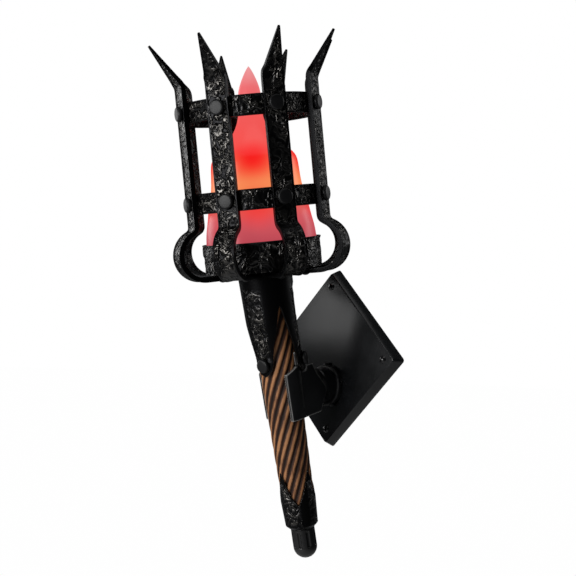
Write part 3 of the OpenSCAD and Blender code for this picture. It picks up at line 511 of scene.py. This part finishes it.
strap = {"width": 0.022, "thick": 0.0048, "footIn": 0.030, "footZ": -0.033,
         "curlOut": 0.0631, "curlZ": -0.0090, "curlSwing": 155.4,
         "bendOut": 0.0760, "bendZ": 0.0192, "bendSwing": 65.4, "upright": 0.069,
         "spearBendOut": 0.081, "spearBendZ": 0.15133, "spearLean": 34.02, "tipOut": 0.0958, "tipZ": 0.1947,
         "neckZ": 0.154, "shoulderZ": 0.160, "shoulderHalf": 0.00946, "pointZ": 0.195, "pointHalf": 0.0009,
         "pointThick": 0.45, "edge": 0.0008, "margin": 0.0022, "fade": 0.0012}


def halfWidth(z):  # even up to the neck, drawn in to the shoulder, and from there to the point
    half = strap["width"] / 2
    if z < strap["neckZ"]:
        return half
    if z < strap["shoulderZ"]:
        share = (z - strap["neckZ"]) / (strap["shoulderZ"] - strap["neckZ"])
        return half - (half - strap["shoulderHalf"]) * share
    share = min(1.0, (z - strap["shoulderZ"]) / (strap["pointZ"] - strap["shoulderZ"]))
    return strap["shoulderHalf"] - (strap["shoulderHalf"] - strap["pointHalf"]) * share


def modelStrap():
    startFresh()
    foot = (0, -strap["footIn"], strap["footZ"])
    bpy.ops.mesh.primitive_grid_add(x_subdivisions=6, y_subdivisions=2, size=1, location=foot,
                                    rotation=(math.pi / 2, 0, 0))
    piece = bpy.context.object
    makeActive(piece)
    bpy.ops.object.transform_apply(location=True, rotation=True, scale=True)
    bpy.ops.object.mode_set(mode="EDIT")
    bpy.ops.mesh.select_all(action="SELECT")
    bpy.ops.transform.resize(value=(strap["width"], 1, strap["thick"]), center_override=foot)

    def draw(y, z, steps):
        for _ in range(steps):
            bpy.ops.mesh.extrude_region_move(TRANSFORM_OT_translate={"value": (0, y / steps, z / steps)})

    def swing(out, z, degrees, steps):
        for _ in range(steps):
            bpy.ops.mesh.extrude_region_move(TRANSFORM_OT_translate={"value": (0, 0, 0)})
            bpy.ops.transform.rotate(value=math.radians(degrees / steps), orient_axis="X",
                                     center_override=(0, -out, z))

    draw(-(strap["curlOut"] - strap["footIn"]), 0, 8)
    swing(strap["curlOut"], strap["curlZ"], strap["curlSwing"], 22)
    swing(strap["bendOut"], strap["bendZ"], -strap["bendSwing"], 5)
    draw(0, strap["spearBendZ"] - strap["bendZ"], 33)
    swing(strap["spearBendOut"], strap["spearBendZ"], -strap["spearLean"], 3)
    # the spear: each step is narrower and a little thinner
    lean = math.radians(strap["spearLean"])
    bendRadius = strap["spearBendOut"] - strap["upright"]
    at = Vector((0, -strap["spearBendOut"] + bendRadius * math.cos(lean),
                 strap["spearBendZ"] + bendRadius * math.sin(lean)))
    tip = Vector((0, -strap["tipOut"], strap["tipZ"]))
    steps = 11
    stride = (tip - at) / steps
    lastWide, lastThin = strap["width"] / 2, 1.0
    for i in range(1, steps + 1):
        at = at + stride
        bpy.ops.mesh.extrude_region_move(TRANSFORM_OT_translate={"value": stride})
        wide = halfWidth(at.z)
        thin = 1 - (1 - strap["pointThick"]) * i / steps
        bpy.ops.transform.resize(value=(wide / lastWide, thin / lastThin, thin / lastThin),
                                 center_override=at)
        lastWide, lastThin = wide, thin
    tidyNormals(piece)
    applyModifier(piece, "BEVEL", width=strap["edge"], segments=2, limit_method="ANGLE",
                  angle_limit=math.radians(50))
    applyModifier(piece, "SUBSURF", levels=2, render_levels=2)
    keepSmooth(piece, lambda co: (abs(co.x) - halfWidth(co.z) + strap["margin"]) / strap["fade"])
    return piece


# two back spears were bent by hand: how far each leans sideways and stands up straighter, in degrees
spearSet = {5: (12.0, 5.0), 6: (13.0, 7.0)}
spearLevels = (0.1535, 0.1565, 0.1595)  # the bend is shared out over these heights


def bendSpear(piece, sideways, upright):
    makeActive(piece)
    bpy.ops.object.mode_set(mode="EDIT")
    for level in spearLevels:
        pickVerts(piece, lambda co: co.z > level)
        at = (0, -strap["spearBendOut"], level)
        bpy.ops.transform.rotate(value=math.radians(sideways / len(spearLevels)), orient_axis="Y",
                                 center_override=at)
        bpy.ops.transform.rotate(value=math.radians(upright / len(spearLevels)), orient_axis="X",
                                 center_override=at)
    startFresh()


strapModel = modelStrap()
for i in range(1, 9):
    made = copyOf(strapModel, "strap.%d" % i, Matrix())
    if i in spearSet:
        bendSpear(made, *spearSet[i])
    made.data.transform(headPlace @ aroundAxis((i - 0.5) * 45))
    hammered(made, blows=0.9, lumps=1.0)
    smoothShade(made, 60)
    settle(made, ironLook, "sconce", "hammered_iron", "cage_strap_%d" % i)
bpy.data.objects.remove(strapModel)
print("straps", len(made.data.polygons), "faces each")

# the cage's hoops

hoop = {"radius": 0.0663, "wall": 0.003, "height": 0.020, "lowerZ": 0.0407, "upperZ": 0.1285, "edge": 0.0006,
        "halfWorked": 0.0080, "fade": 0.0012}


def modelHoop(name, z):
    low = z - hoop["height"] / 2
    high = low + hoop["height"]
    outer, inner = hoop["radius"], hoop["radius"] - hoop["wall"]
    points = [(outer, low)] + between((outer, low), (outer, high), 9)
    points += [(inner, high)] + between((inner, high), (inner, low), 9)
    piece = turned(name, points, 220, closeLoop=True)
    applyModifier(piece, "BEVEL", width=hoop["edge"], segments=2, limit_method="ANGLE",
                  angle_limit=math.radians(50))
    applyModifier(piece, "SUBSURF", levels=1, render_levels=1)
    keepSmooth(piece, lambda co: (abs(co.z - z) - hoop["halfWorked"]) / hoop["fade"])
    piece.data.transform(headPlace)
    hammered(piece, blows=0.6, lumps=1.2)
    smoothShade(piece, 60)
    return piece


settle(modelHoop("lowerHoop", hoop["lowerZ"]), ironLook, "sconce", "hammered_iron", "lower_hoop")
settle(modelHoop("upperHoop", hoop["upperZ"]), ironLook, "sconce", "hammered_iron", "upper_hoop")
print("hoops ready")

# the cup: drawn out from its middle hole, up the wall and back down inside

cup = {"radius": 0.0592, "depth": 0.0306, "wall": 0.0025, "hole": 0.0051, "edge": 0.0015, "corner": 0.0004,
       "lip": 0.0005, "screwAngles": (-45, 75, 195), "screwZ": -0.007, "screwHole": 0.00245, "drill": 0.01,
       "rimSmooth": 0.0025, "rimFade": 0.0012, "seat": 0.0055, "seatFade": 0.0015}


def modelCup():
    out, floor, hole, lip = cup["radius"], -cup["depth"], cup["hole"], cup["lip"]
    inside, insideFloor = out - cup["wall"], floor + cup["wall"]
    points = [(hole, floor)] + between((hole, floor), (out - cup["edge"], floor), 18)
    points += [(out - cup["corner"], floor + cup["corner"]), (out, floor + cup["edge"])]
    points += between((out, floor + cup["edge"]), (out, -lip), 11)
    points += [(out - lip, 0), (inside + lip, 0), (inside, -lip)]
    points += between((inside, -lip), (inside, insideFloor), 10)
    points += between((inside, insideFloor), (hole, insideFloor), 16)
    piece = turned("cupShell", points, 200, closeLoop=True)
    for angle in cup["screwAngles"]:
        startFresh()
        bpy.ops.mesh.primitive_cylinder_add(vertices=32, radius=cup["screwHole"], depth=cup["drill"],
                                            rotation=(math.pi / 2, 0, 0))
        drill = bpy.context.object
        makeActive(drill)
        bpy.ops.object.transform_apply(location=True, rotation=True, scale=True)
        drill.data.transform(aroundAxis(angle) @ Matrix.Translation((0, -out, cup["screwZ"])))
        applyModifier(piece, "BOOLEAN", object=drill, operation="DIFFERENCE", solver="EXACT")
        bpy.data.objects.remove(drill)
        print("cup drilled at", angle, len(piece.data.polygons), "faces")
    applyModifier(piece, "SUBSURF", levels=1, render_levels=1, subdivision_type="SIMPLE")
    seats = [aroundAxis(angle) @ Vector((0, -out, cup["screwZ"])) for angle in cup["screwAngles"]]

    def rimAndSeats(co):
        toSeat = min((co - seat).length for seat in seats)
        return max((co.z + cup["rimSmooth"]) / cup["rimFade"], (cup["seat"] - toSeat) / cup["seatFade"])

    keepSmooth(piece, rimAndSeats)
    piece.data.transform(headPlace)
    hammered(piece, blows=1.2, lumps=0.9)
    smoothShade(piece, 60)
    return piece


settle(modelCup(), ironLook, "sconce", "hammered_iron", "cup")
print("cup ready")

# the flame: a glass shade turned from its foot to its tip, leaning back a little towards the wall

flame = {"foot": 0.055, "footZ": -0.0251, "footTop": -0.012, "height": 0.172, "wall": 0.0025,
         "bend": 0.0045, "bendFrom": 0.5,
         "outline": [  # height and radius, as shares of the flame's height and its foot's radius
             (0, 1), (0.07, 0.98), (0.137, 0.93), (0.2, 0.905), (0.286, 0.825), (0.37, 0.8), (0.44, 0.79),
             (0.476, 0.76), (0.512, 0.66), (0.565, 0.475), (0.625, 0.315), (0.7, 0.222), (0.76, 0.212),
             (0.82, 0.212), (0.87, 0.192), (0.915, 0.142), (0.96, 0.08), (0.985, 0.034), (1.0, 0.0)]}


def flameShift(z):  # it leans back from half its height on, more and more towards the tip
    above = (z / flame["height"] - flame["bendFrom"]) / (1 - flame["bendFrom"])
    return flame["bend"] * max(0.0, above) ** 2


def modelFlame():
    points = [(flame["foot"], flame["footZ"]), (flame["foot"], flame["footTop"])]
    points += [(w * flame["foot"], h * flame["height"]) for h, w in flame["outline"]]
    shifts = [flameShift(z) for _, z in points]
    piece = turned("flameShade", points, 72, shifts=shifts)
    applyModifier(piece, "SUBSURF", levels=2, render_levels=2)
    tidyNormals(piece)
    applyModifier(piece, "SOLIDIFY", thickness=flame["wall"], offset=-1.0)
    piece.data.transform(headPlace)
    smoothShade(piece, 60)
    return piece


settle(modelFlame(), glassLook, "shade", "flame_glass", "glass_shade")
print("flame ready")

# the shaft: a fluted oak bar, twisted as it is drawn down

shaft = {"top": -0.0095, "end": -0.262, "topRadius": 0.0214, "taper": 0.0199, "flutes": 14, "perFlute": 14,
         "depth": 0.0015, "lead": 0.250, "hiddenBelow": -0.236, "gap": 0.0003}
ferrule = {"topZ": -0.201, "length": 0.065, "topRadius": 0.0201, "endRadius": 0.0166, "wall": 0.0024}


def woodRadius(z):
    bar = shaft["topRadius"] + shaft["taper"] * z
    if z < shaft["hiddenBelow"]:  # inside the ferrule it follows the ferrule's wall
        share = (ferrule["topZ"] - z) / ferrule["length"]
        outside = ferrule["topRadius"] - (ferrule["topRadius"] - ferrule["endRadius"]) * share
        return min(bar, outside - ferrule["wall"] - shaft["gap"])
    return bar


def modelShaft():
    around = shaft["flutes"] * shaft["perFlute"]
    steps = 84
    drop = (shaft["end"] - shaft["top"]) / steps
    startFresh()
    bpy.ops.mesh.primitive_circle_add(vertices=around, radius=woodRadius(shaft["top"]),
                                      location=(0, 0, shaft["top"]), fill_type="NGON")
    piece = bpy.context.object
    makeActive(piece)
    bpy.ops.object.transform_apply(location=True, rotation=True, scale=True)
    bpy.ops.object.mode_set(mode="EDIT")
    # the grooves: each ring of like points between two crests is drawn in by its own depth
    for count in range(shaft["perFlute"]):
        depth = shaft["depth"] * (1 - math.sin(math.pi * count / shaft["perFlute"]))
        if depth > 0:
            pickVerts(piece, lambda co: round(math.atan2(co.x, co.y) / (2 * math.pi / around))
                      % shaft["perFlute"] == count)
            share = 1 - depth / woodRadius(shaft["top"])
            bpy.ops.transform.resize(value=(share, share, 1), center_override=(0, 0, shaft["top"]))
    bpy.ops.mesh.select_all(action="SELECT")
    z = shaft["top"]
    for _ in range(steps):
        bpy.ops.mesh.extrude_region_move(TRANSFORM_OT_translate={"value": (0, 0, drop)})
        factor = woodRadius(z + drop) / woodRadius(z)
        z += drop
        bpy.ops.transform.resize(value=(factor, factor, 1), center_override=(0, 0, z))
        bpy.ops.transform.rotate(value=math.radians(-360 * drop / shaft["lead"]), orient_axis="Z",
                                 center_override=(0, 0, z))
    bpy.ops.mesh.select_all(action="SELECT")
    bpy.ops.mesh.normals_make_consistent(inside=False)
    startFresh()
    # how high each point stands on its flute, for the painted shade in the grooves and the pale crests
    crest = piece.data.attributes.new("crest", "FLOAT", "POINT")
    for vert in piece.data.vertices:
        below = woodRadius(vert.co.z) - math.hypot(vert.co.x, vert.co.y)
        crest.data[vert.index].value = max(0.0, min(1.0, 1 - below / shaft["depth"]))
    piece.data.transform(shaftPlace)
    piece.name = piece.data.name = "oakShaft"
    smoothShade(piece, 60)
    return piece


settle(modelShaft(), woodLook, "sconce", "stained_wood", "shaft")
print("shaft ready")

# pieces that follow the CAD form: an even skin over a merged copy, eased edges, then any hammer marks

def forgedCopy(node, name, skin, ease):
    piece = bpy.data.objects.new(name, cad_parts[node].data.copy())
    bpy.context.scene.collection.objects.link(piece)
    editAll(piece)
    bpy.ops.mesh.remove_doubles(threshold=0.00002)
    startFresh()
    applyModifier(piece, "REMESH", mode="VOXEL", voxel_size=skin, adaptivity=0.0)
    applyModifier(piece, "SMOOTH", factor=0.5, iterations=ease)
    return piece


patchFade = {"aside": 0.003, "along": 0.005}


def patches(angles, halfWide, top, bottom, radius):  # worked by the hammer only there, and smooth elsewhere
    def rule(point):
        at = shaftPlace.inverted() @ point
        turn = math.degrees(math.atan2(at.x, -at.y))
        away = min(abs((turn - angle + 180) % 360 - 180) for angle in angles)
        aside = (radius * math.radians(away) - halfWide) / patchFade["aside"]
        return max(aside, (at.z - top) / patchFade["along"], (bottom - at.z) / patchFade["along"])
    return rule


shells = {
    "neck_socket": {"name": "neckSocket", "skin": 0.0007, "ease": 3, "blows": 1.2, "lumps": 1.5,
                    "finish": (ironLook, "sconce", "hammered_iron"),
                    "worked": patches(angles=(8, 128, 248), halfWide=0.0085, top=-0.020, bottom=-0.084,
                                      radius=0.027)},
    "bracket_arm": {"name": "saddleArm", "skin": 0.0007, "ease": 3, "blows": 0.0, "lumps": 0.1,
                    "finish": (saddleLook, "sconce", "smooth_iron")},
    "foot_ferrule": {"name": "footFerrule", "skin": 0.0005, "ease": 3, "blows": 0.5, "lumps": 0.5,
                     "finish": (ironLook, "sconce", "hammered_iron"),
                     "worked": patches(angles=(20, 110, 200, 290), halfWide=0.0075, top=-0.222,
                                       bottom=-0.258, radius=0.018)},
    "arm_collar": {"name": "armCollar", "skin": 0.0005, "ease": 3, "blows": 0.0, "lumps": 0.1,
                   "finish": (rivetLook, "sconce", "hammered_iron")},
    "finial": {"name": "reededFinial", "skin": 0.0004, "ease": 4, "blows": 0.0, "lumps": 0.0,
               "finish": (glossLook, "sconce", "black_paint")},
}
for node, facts in shells.items():
    made = forgedCopy(node, facts["name"], facts["skin"], facts["ease"])
    if "worked" in facts:
        keepSmooth(made, facts["worked"])
    hammered(made, blows=facts["blows"], lumps=facts["lumps"])
    smoothShade(made, 60)
    settle(made, *facts["finish"], node)
    print(facts["name"], len(made.data.polygons), "faces")

# rivets: a bevelled button with a low dome, copied round the cage and the neck

rivet = {"head": 0.0074, "height": 0.0041, "shank": 0.003, "grip": 0.0084, "tail": 0.0046,
         "tailHeight": 0.0014, "out": 0.0714}
neckRivet = {"head": 0.0069, "height": 0.0041, "shank": 0.003, "grip": 0.0128, "z": -0.092,
             "places": ((8, 0.022869), (128, 0.026169), (248, 0.026169))}  # angle and distance out
button = {"round": 0.45, "roundAngles": (18, 36, 54, 72, 88), "seatIn": 0.0003, "seatUp": 0.0004,
          "domeDrop": 0.0002, "crownDrop": 0.00008}


def modelRivet(facts):
    head, height, shank, grip = facts["head"], facts["height"], facts["shank"], facts["grip"]
    seatIn, seatUp = button["seatIn"], button["seatUp"]
    edge = height * button["round"]
    points = [(smallestRing, -grip), (shank, -grip), (shank, 0), (head - seatIn, 0), (head, seatUp)]
    points += between((head, seatUp), (head, height - edge), 2)
    for degrees in button["roundAngles"]:
        angle = math.radians(degrees)
        points.append((head - edge + edge * math.cos(angle),
                       height - edge - button["domeDrop"] + edge * math.sin(angle)))
    points += [(head * 0.5, height - button["crownDrop"]), (head * 0.25, height), (0, height)]
    piece = turned("rivetModel", points, 48)
    if "tail" in facts:
        tail, end = facts["tail"], -grip - facts["tailHeight"]
        inside = turned("rivetTail", [(smallestRing, end), (tail - seatIn, end), (tail, end + seatUp),
                                      (tail, -grip), (0, -grip)], 40)
        piece = joined([piece, inside], "rivetModel")
    return piece


def outwards(angle, out, z):  # a thing drawn along +Z stands on the circle, pointing away from the axis
    return aroundAxis(angle) @ Matrix.Translation((0, -out, z)) @ Matrix.Rotation(math.pi / 2, 4, "X")


def setRivets(facts, places, name, node):
    model = modelRivet(facts)
    made = joined([copyOf(model, "rivet", place) for place in places], name)
    hammered(made, blows=0.0, lumps=0.12)
    smoothShade(made, 50)
    settle(made, rivetLook, "sconce", "hammered_iron", node)
    bpy.data.objects.remove(model)


for name, z, node in (("lowerRivets", hoop["lowerZ"], "lower_rivets"),
                      ("upperRivets", hoop["upperZ"], "upper_rivets")):
    places = [headPlace @ outwards((i + 0.5) * 45, rivet["out"], z) for i in range(8)]
    setRivets(rivet, places, name, node)
places = [shaftPlace @ outwards(angle, out, neckRivet["z"]) for angle, out in neckRivet["places"]]
setRivets(neckRivet, places, "neckRivets", "neck_rivets")
print("rivets ready")

# the wall plate: a shallow pan standing on one corner

plate = {"front": 0.1264, "back": 0.1334, "depth": 0.0121, "wall": 0.002, "corner": 0.003, "edge": 0.0007}


def modelPlate():
    startFresh()
    bpy.ops.mesh.primitive_cube_add(size=1, location=(0, -plate["depth"] / 2, 0),
                                    scale=(plate["back"], plate["depth"], plate["back"]))
    piece = bpy.context.object
    makeActive(piece)
    bpy.ops.object.transform_apply(location=True, rotation=True, scale=True)
    bpy.ops.object.mode_set(mode="EDIT")
    pickVerts(piece, lambda co: co.y < -plate["depth"] * 0.5)
    share = plate["front"] / plate["back"]
    bpy.ops.transform.resize(value=(share, 1, share), center_override=(0, -plate["depth"], 0))
    pickEdges(piece, lambda e: abs(e.verts[0].co.y - e.verts[1].co.y) > plate["depth"] * 0.9)
    bpy.ops.mesh.bevel(offset=plate["corner"], segments=5, affect="EDGES")
    pickFaces(piece, lambda f: f.normal.y > 0.9)
    bpy.ops.mesh.inset(thickness=plate["wall"], depth=0)
    bpy.ops.mesh.extrude_region_move(
        TRANSFORM_OT_translate={"value": (0, -(plate["depth"] - plate["wall"]), 0)})
    share = (plate["front"] - 2 * plate["wall"]) / (plate["back"] - 2 * plate["wall"])
    bpy.ops.transform.resize(value=(share, 1, share), center_override=(0, 0, 0))
    startFresh()
    piece.data.transform(Matrix.Rotation(math.radians(45), 4, "Y"))
    piece.name = piece.data.name = "wallPlate"
    tidyNormals(piece)
    applyModifier(piece, "BEVEL", width=plate["edge"], segments=3, limit_method="ANGLE",
                  angle_limit=math.radians(40))
    smoothShade(piece, 40)
    return piece


settle(modelPlate(), paintLook, "sconce", "black_paint", "wall_plate")
print("plate ready")

# CAD pieces that keep their own shape and get their own finish

finishes = {
    "mounting_bracket": looks["zincPlatedSteel"], "ground_screw": looks["greenPaintedSteel"],
    "arm_lock_ring": looks["zincPlatedSteel"], "lock_nut": looks["zincPlatedSteel"],
    "nipple": looks["yellowBrass"], "bulb_cap": looks["yellowBrass"], "bulb_glass": looks["frostedBulbGlass"],
    "lamp_holder": looks["glazedPorcelain"], "shade_gasket": looks["siliconeRubber"],
    "lamp_leads": looks["leadInsulation"], "splice_caps": looks["nylonCap"], "plate_screws": glossLook,
    "shade_screw_1": glossLook, "shade_screw_2": glossLook, "shade_screw_3": glossLook,
}
# the other nodes are dull black rivets and screws, or are replaced by a piece above
for node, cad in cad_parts.items():
    cad.data.materials.clear()
    cad.data.materials.append(finishes.get(node, rivetLook))
print("finishes given")

# studio: white room for the camera, soft panels for the reflections

# the camera: metres, degrees and millimetres
view = {"place": (0.830857, -0.891413, -0.001666), "turn": (93.46292, -2.3859, 45.39576), "lens": 71.709,
        "sensor": 36.0}


def setCamera():
    data = bpy.data.cameras.new("camera")
    data.lens = view["lens"]
    data.sensor_width = view["sensor"]
    camera = bpy.data.objects.new("camera", data)
    camera.location = view["place"]
    camera.rotation_euler = [math.radians(degrees) for degrees in view["turn"]]
    bpy.context.scene.collection.objects.link(camera)
    bpy.context.scene.camera = camera
    return camera


aim = Vector((0, -0.09, 0.05))  # the middle of the light
panels = {  # metres from there to the camera's right, up and nearer to it, then size and watts
    "key": (-1.0, 0.15, 0.95, 0.7, 20.0),
    "side": (-1.3, 0.25, 0.0, 0.5, 2.0),
    "top": (0.0, 1.5, 0.3, 1.3, 6.5),
    "rim": (1.1, 0.45, -0.5, 0.6, 3.0),
    "back": (-1.2, 0.4, -1.1, 0.8, 4.5),
}


def setPanels(camera):
    fromCamera = camera.rotation_euler.to_matrix()
    for name, (right, up, near, size, watts) in panels.items():
        data = bpy.data.lights.new(name, "AREA")
        data.size = size
        data.energy = watts
        lamp = bpy.data.objects.new(name, data)
        lamp.location = aim + fromCamera @ Vector((right, up, near))
        lamp.rotation_euler = (lamp.location - aim).to_track_quat("Z", "Y").to_euler()
        bpy.context.scene.collection.objects.link(lamp)


room = {"haze": (0.9, 0.95, 1.0, 1.0), "hazeStrength": 0.06, "floorSize": 90, "floorZ": -0.95,
        "floorTone": (0.9, 0.9, 0.9, 1.0), "floorWhite": 0.995}
white = (1, 1, 1, 1)


def setRoom():
    world = bpy.data.worlds.new("whiteRoom")
    bpy.context.scene.world = world
    world.use_nodes = True
    tree = world.node_tree
    tree.nodes.clear()
    path = addNode(tree, "ShaderNodeLightPath")
    seen = addNode(tree, "ShaderNodeBackground", {}, {"Color": white, "Strength": 1.0})
    soft = addNode(tree, "ShaderNodeBackground", {},
                   {"Color": room["haze"], "Strength": room["hazeStrength"]})
    mix = addNode(tree, "ShaderNodeMixShader", {}, {}, {0: (path, "Is Camera Ray"), 1: (soft, "Background"),
                                                        2: (seen, "Background")})
    addNode(tree, "ShaderNodeOutputWorld", {}, {}, {"Surface": (mix, "Shader")})
    startFresh()
    bpy.ops.mesh.primitive_plane_add(size=room["floorSize"], location=(0, 0, room["floorZ"]))
    floor = bpy.context.object
    floor.name = "floor"
    # the camera sees an even white, and light finds a pale matt floor
    material, tree, shader = newMaterial("paleFloor", Roughness=0.9)
    shader.inputs["Base Color"].default_value = room["floorTone"]
    path = addNode(tree, "ShaderNodeLightPath")
    even = addNode(tree, "ShaderNodeEmission", {}, {"Color": white, "Strength": room["floorWhite"]})
    mix = addNode(tree, "ShaderNodeMixShader", {}, {}, {0: (path, "Is Camera Ray"), 1: (shader, "BSDF"),
                                                        2: (even, "Emission")})
    tree.links.new(mix.outputs["Shader"], tree.nodes["Material Output"].inputs["Surface"])
    floor.data.materials.append(material)
    bpy.context.scene.view_settings.view_transform = "Standard"


setPanels(setCamera())
setRoom()
print("studio ready")
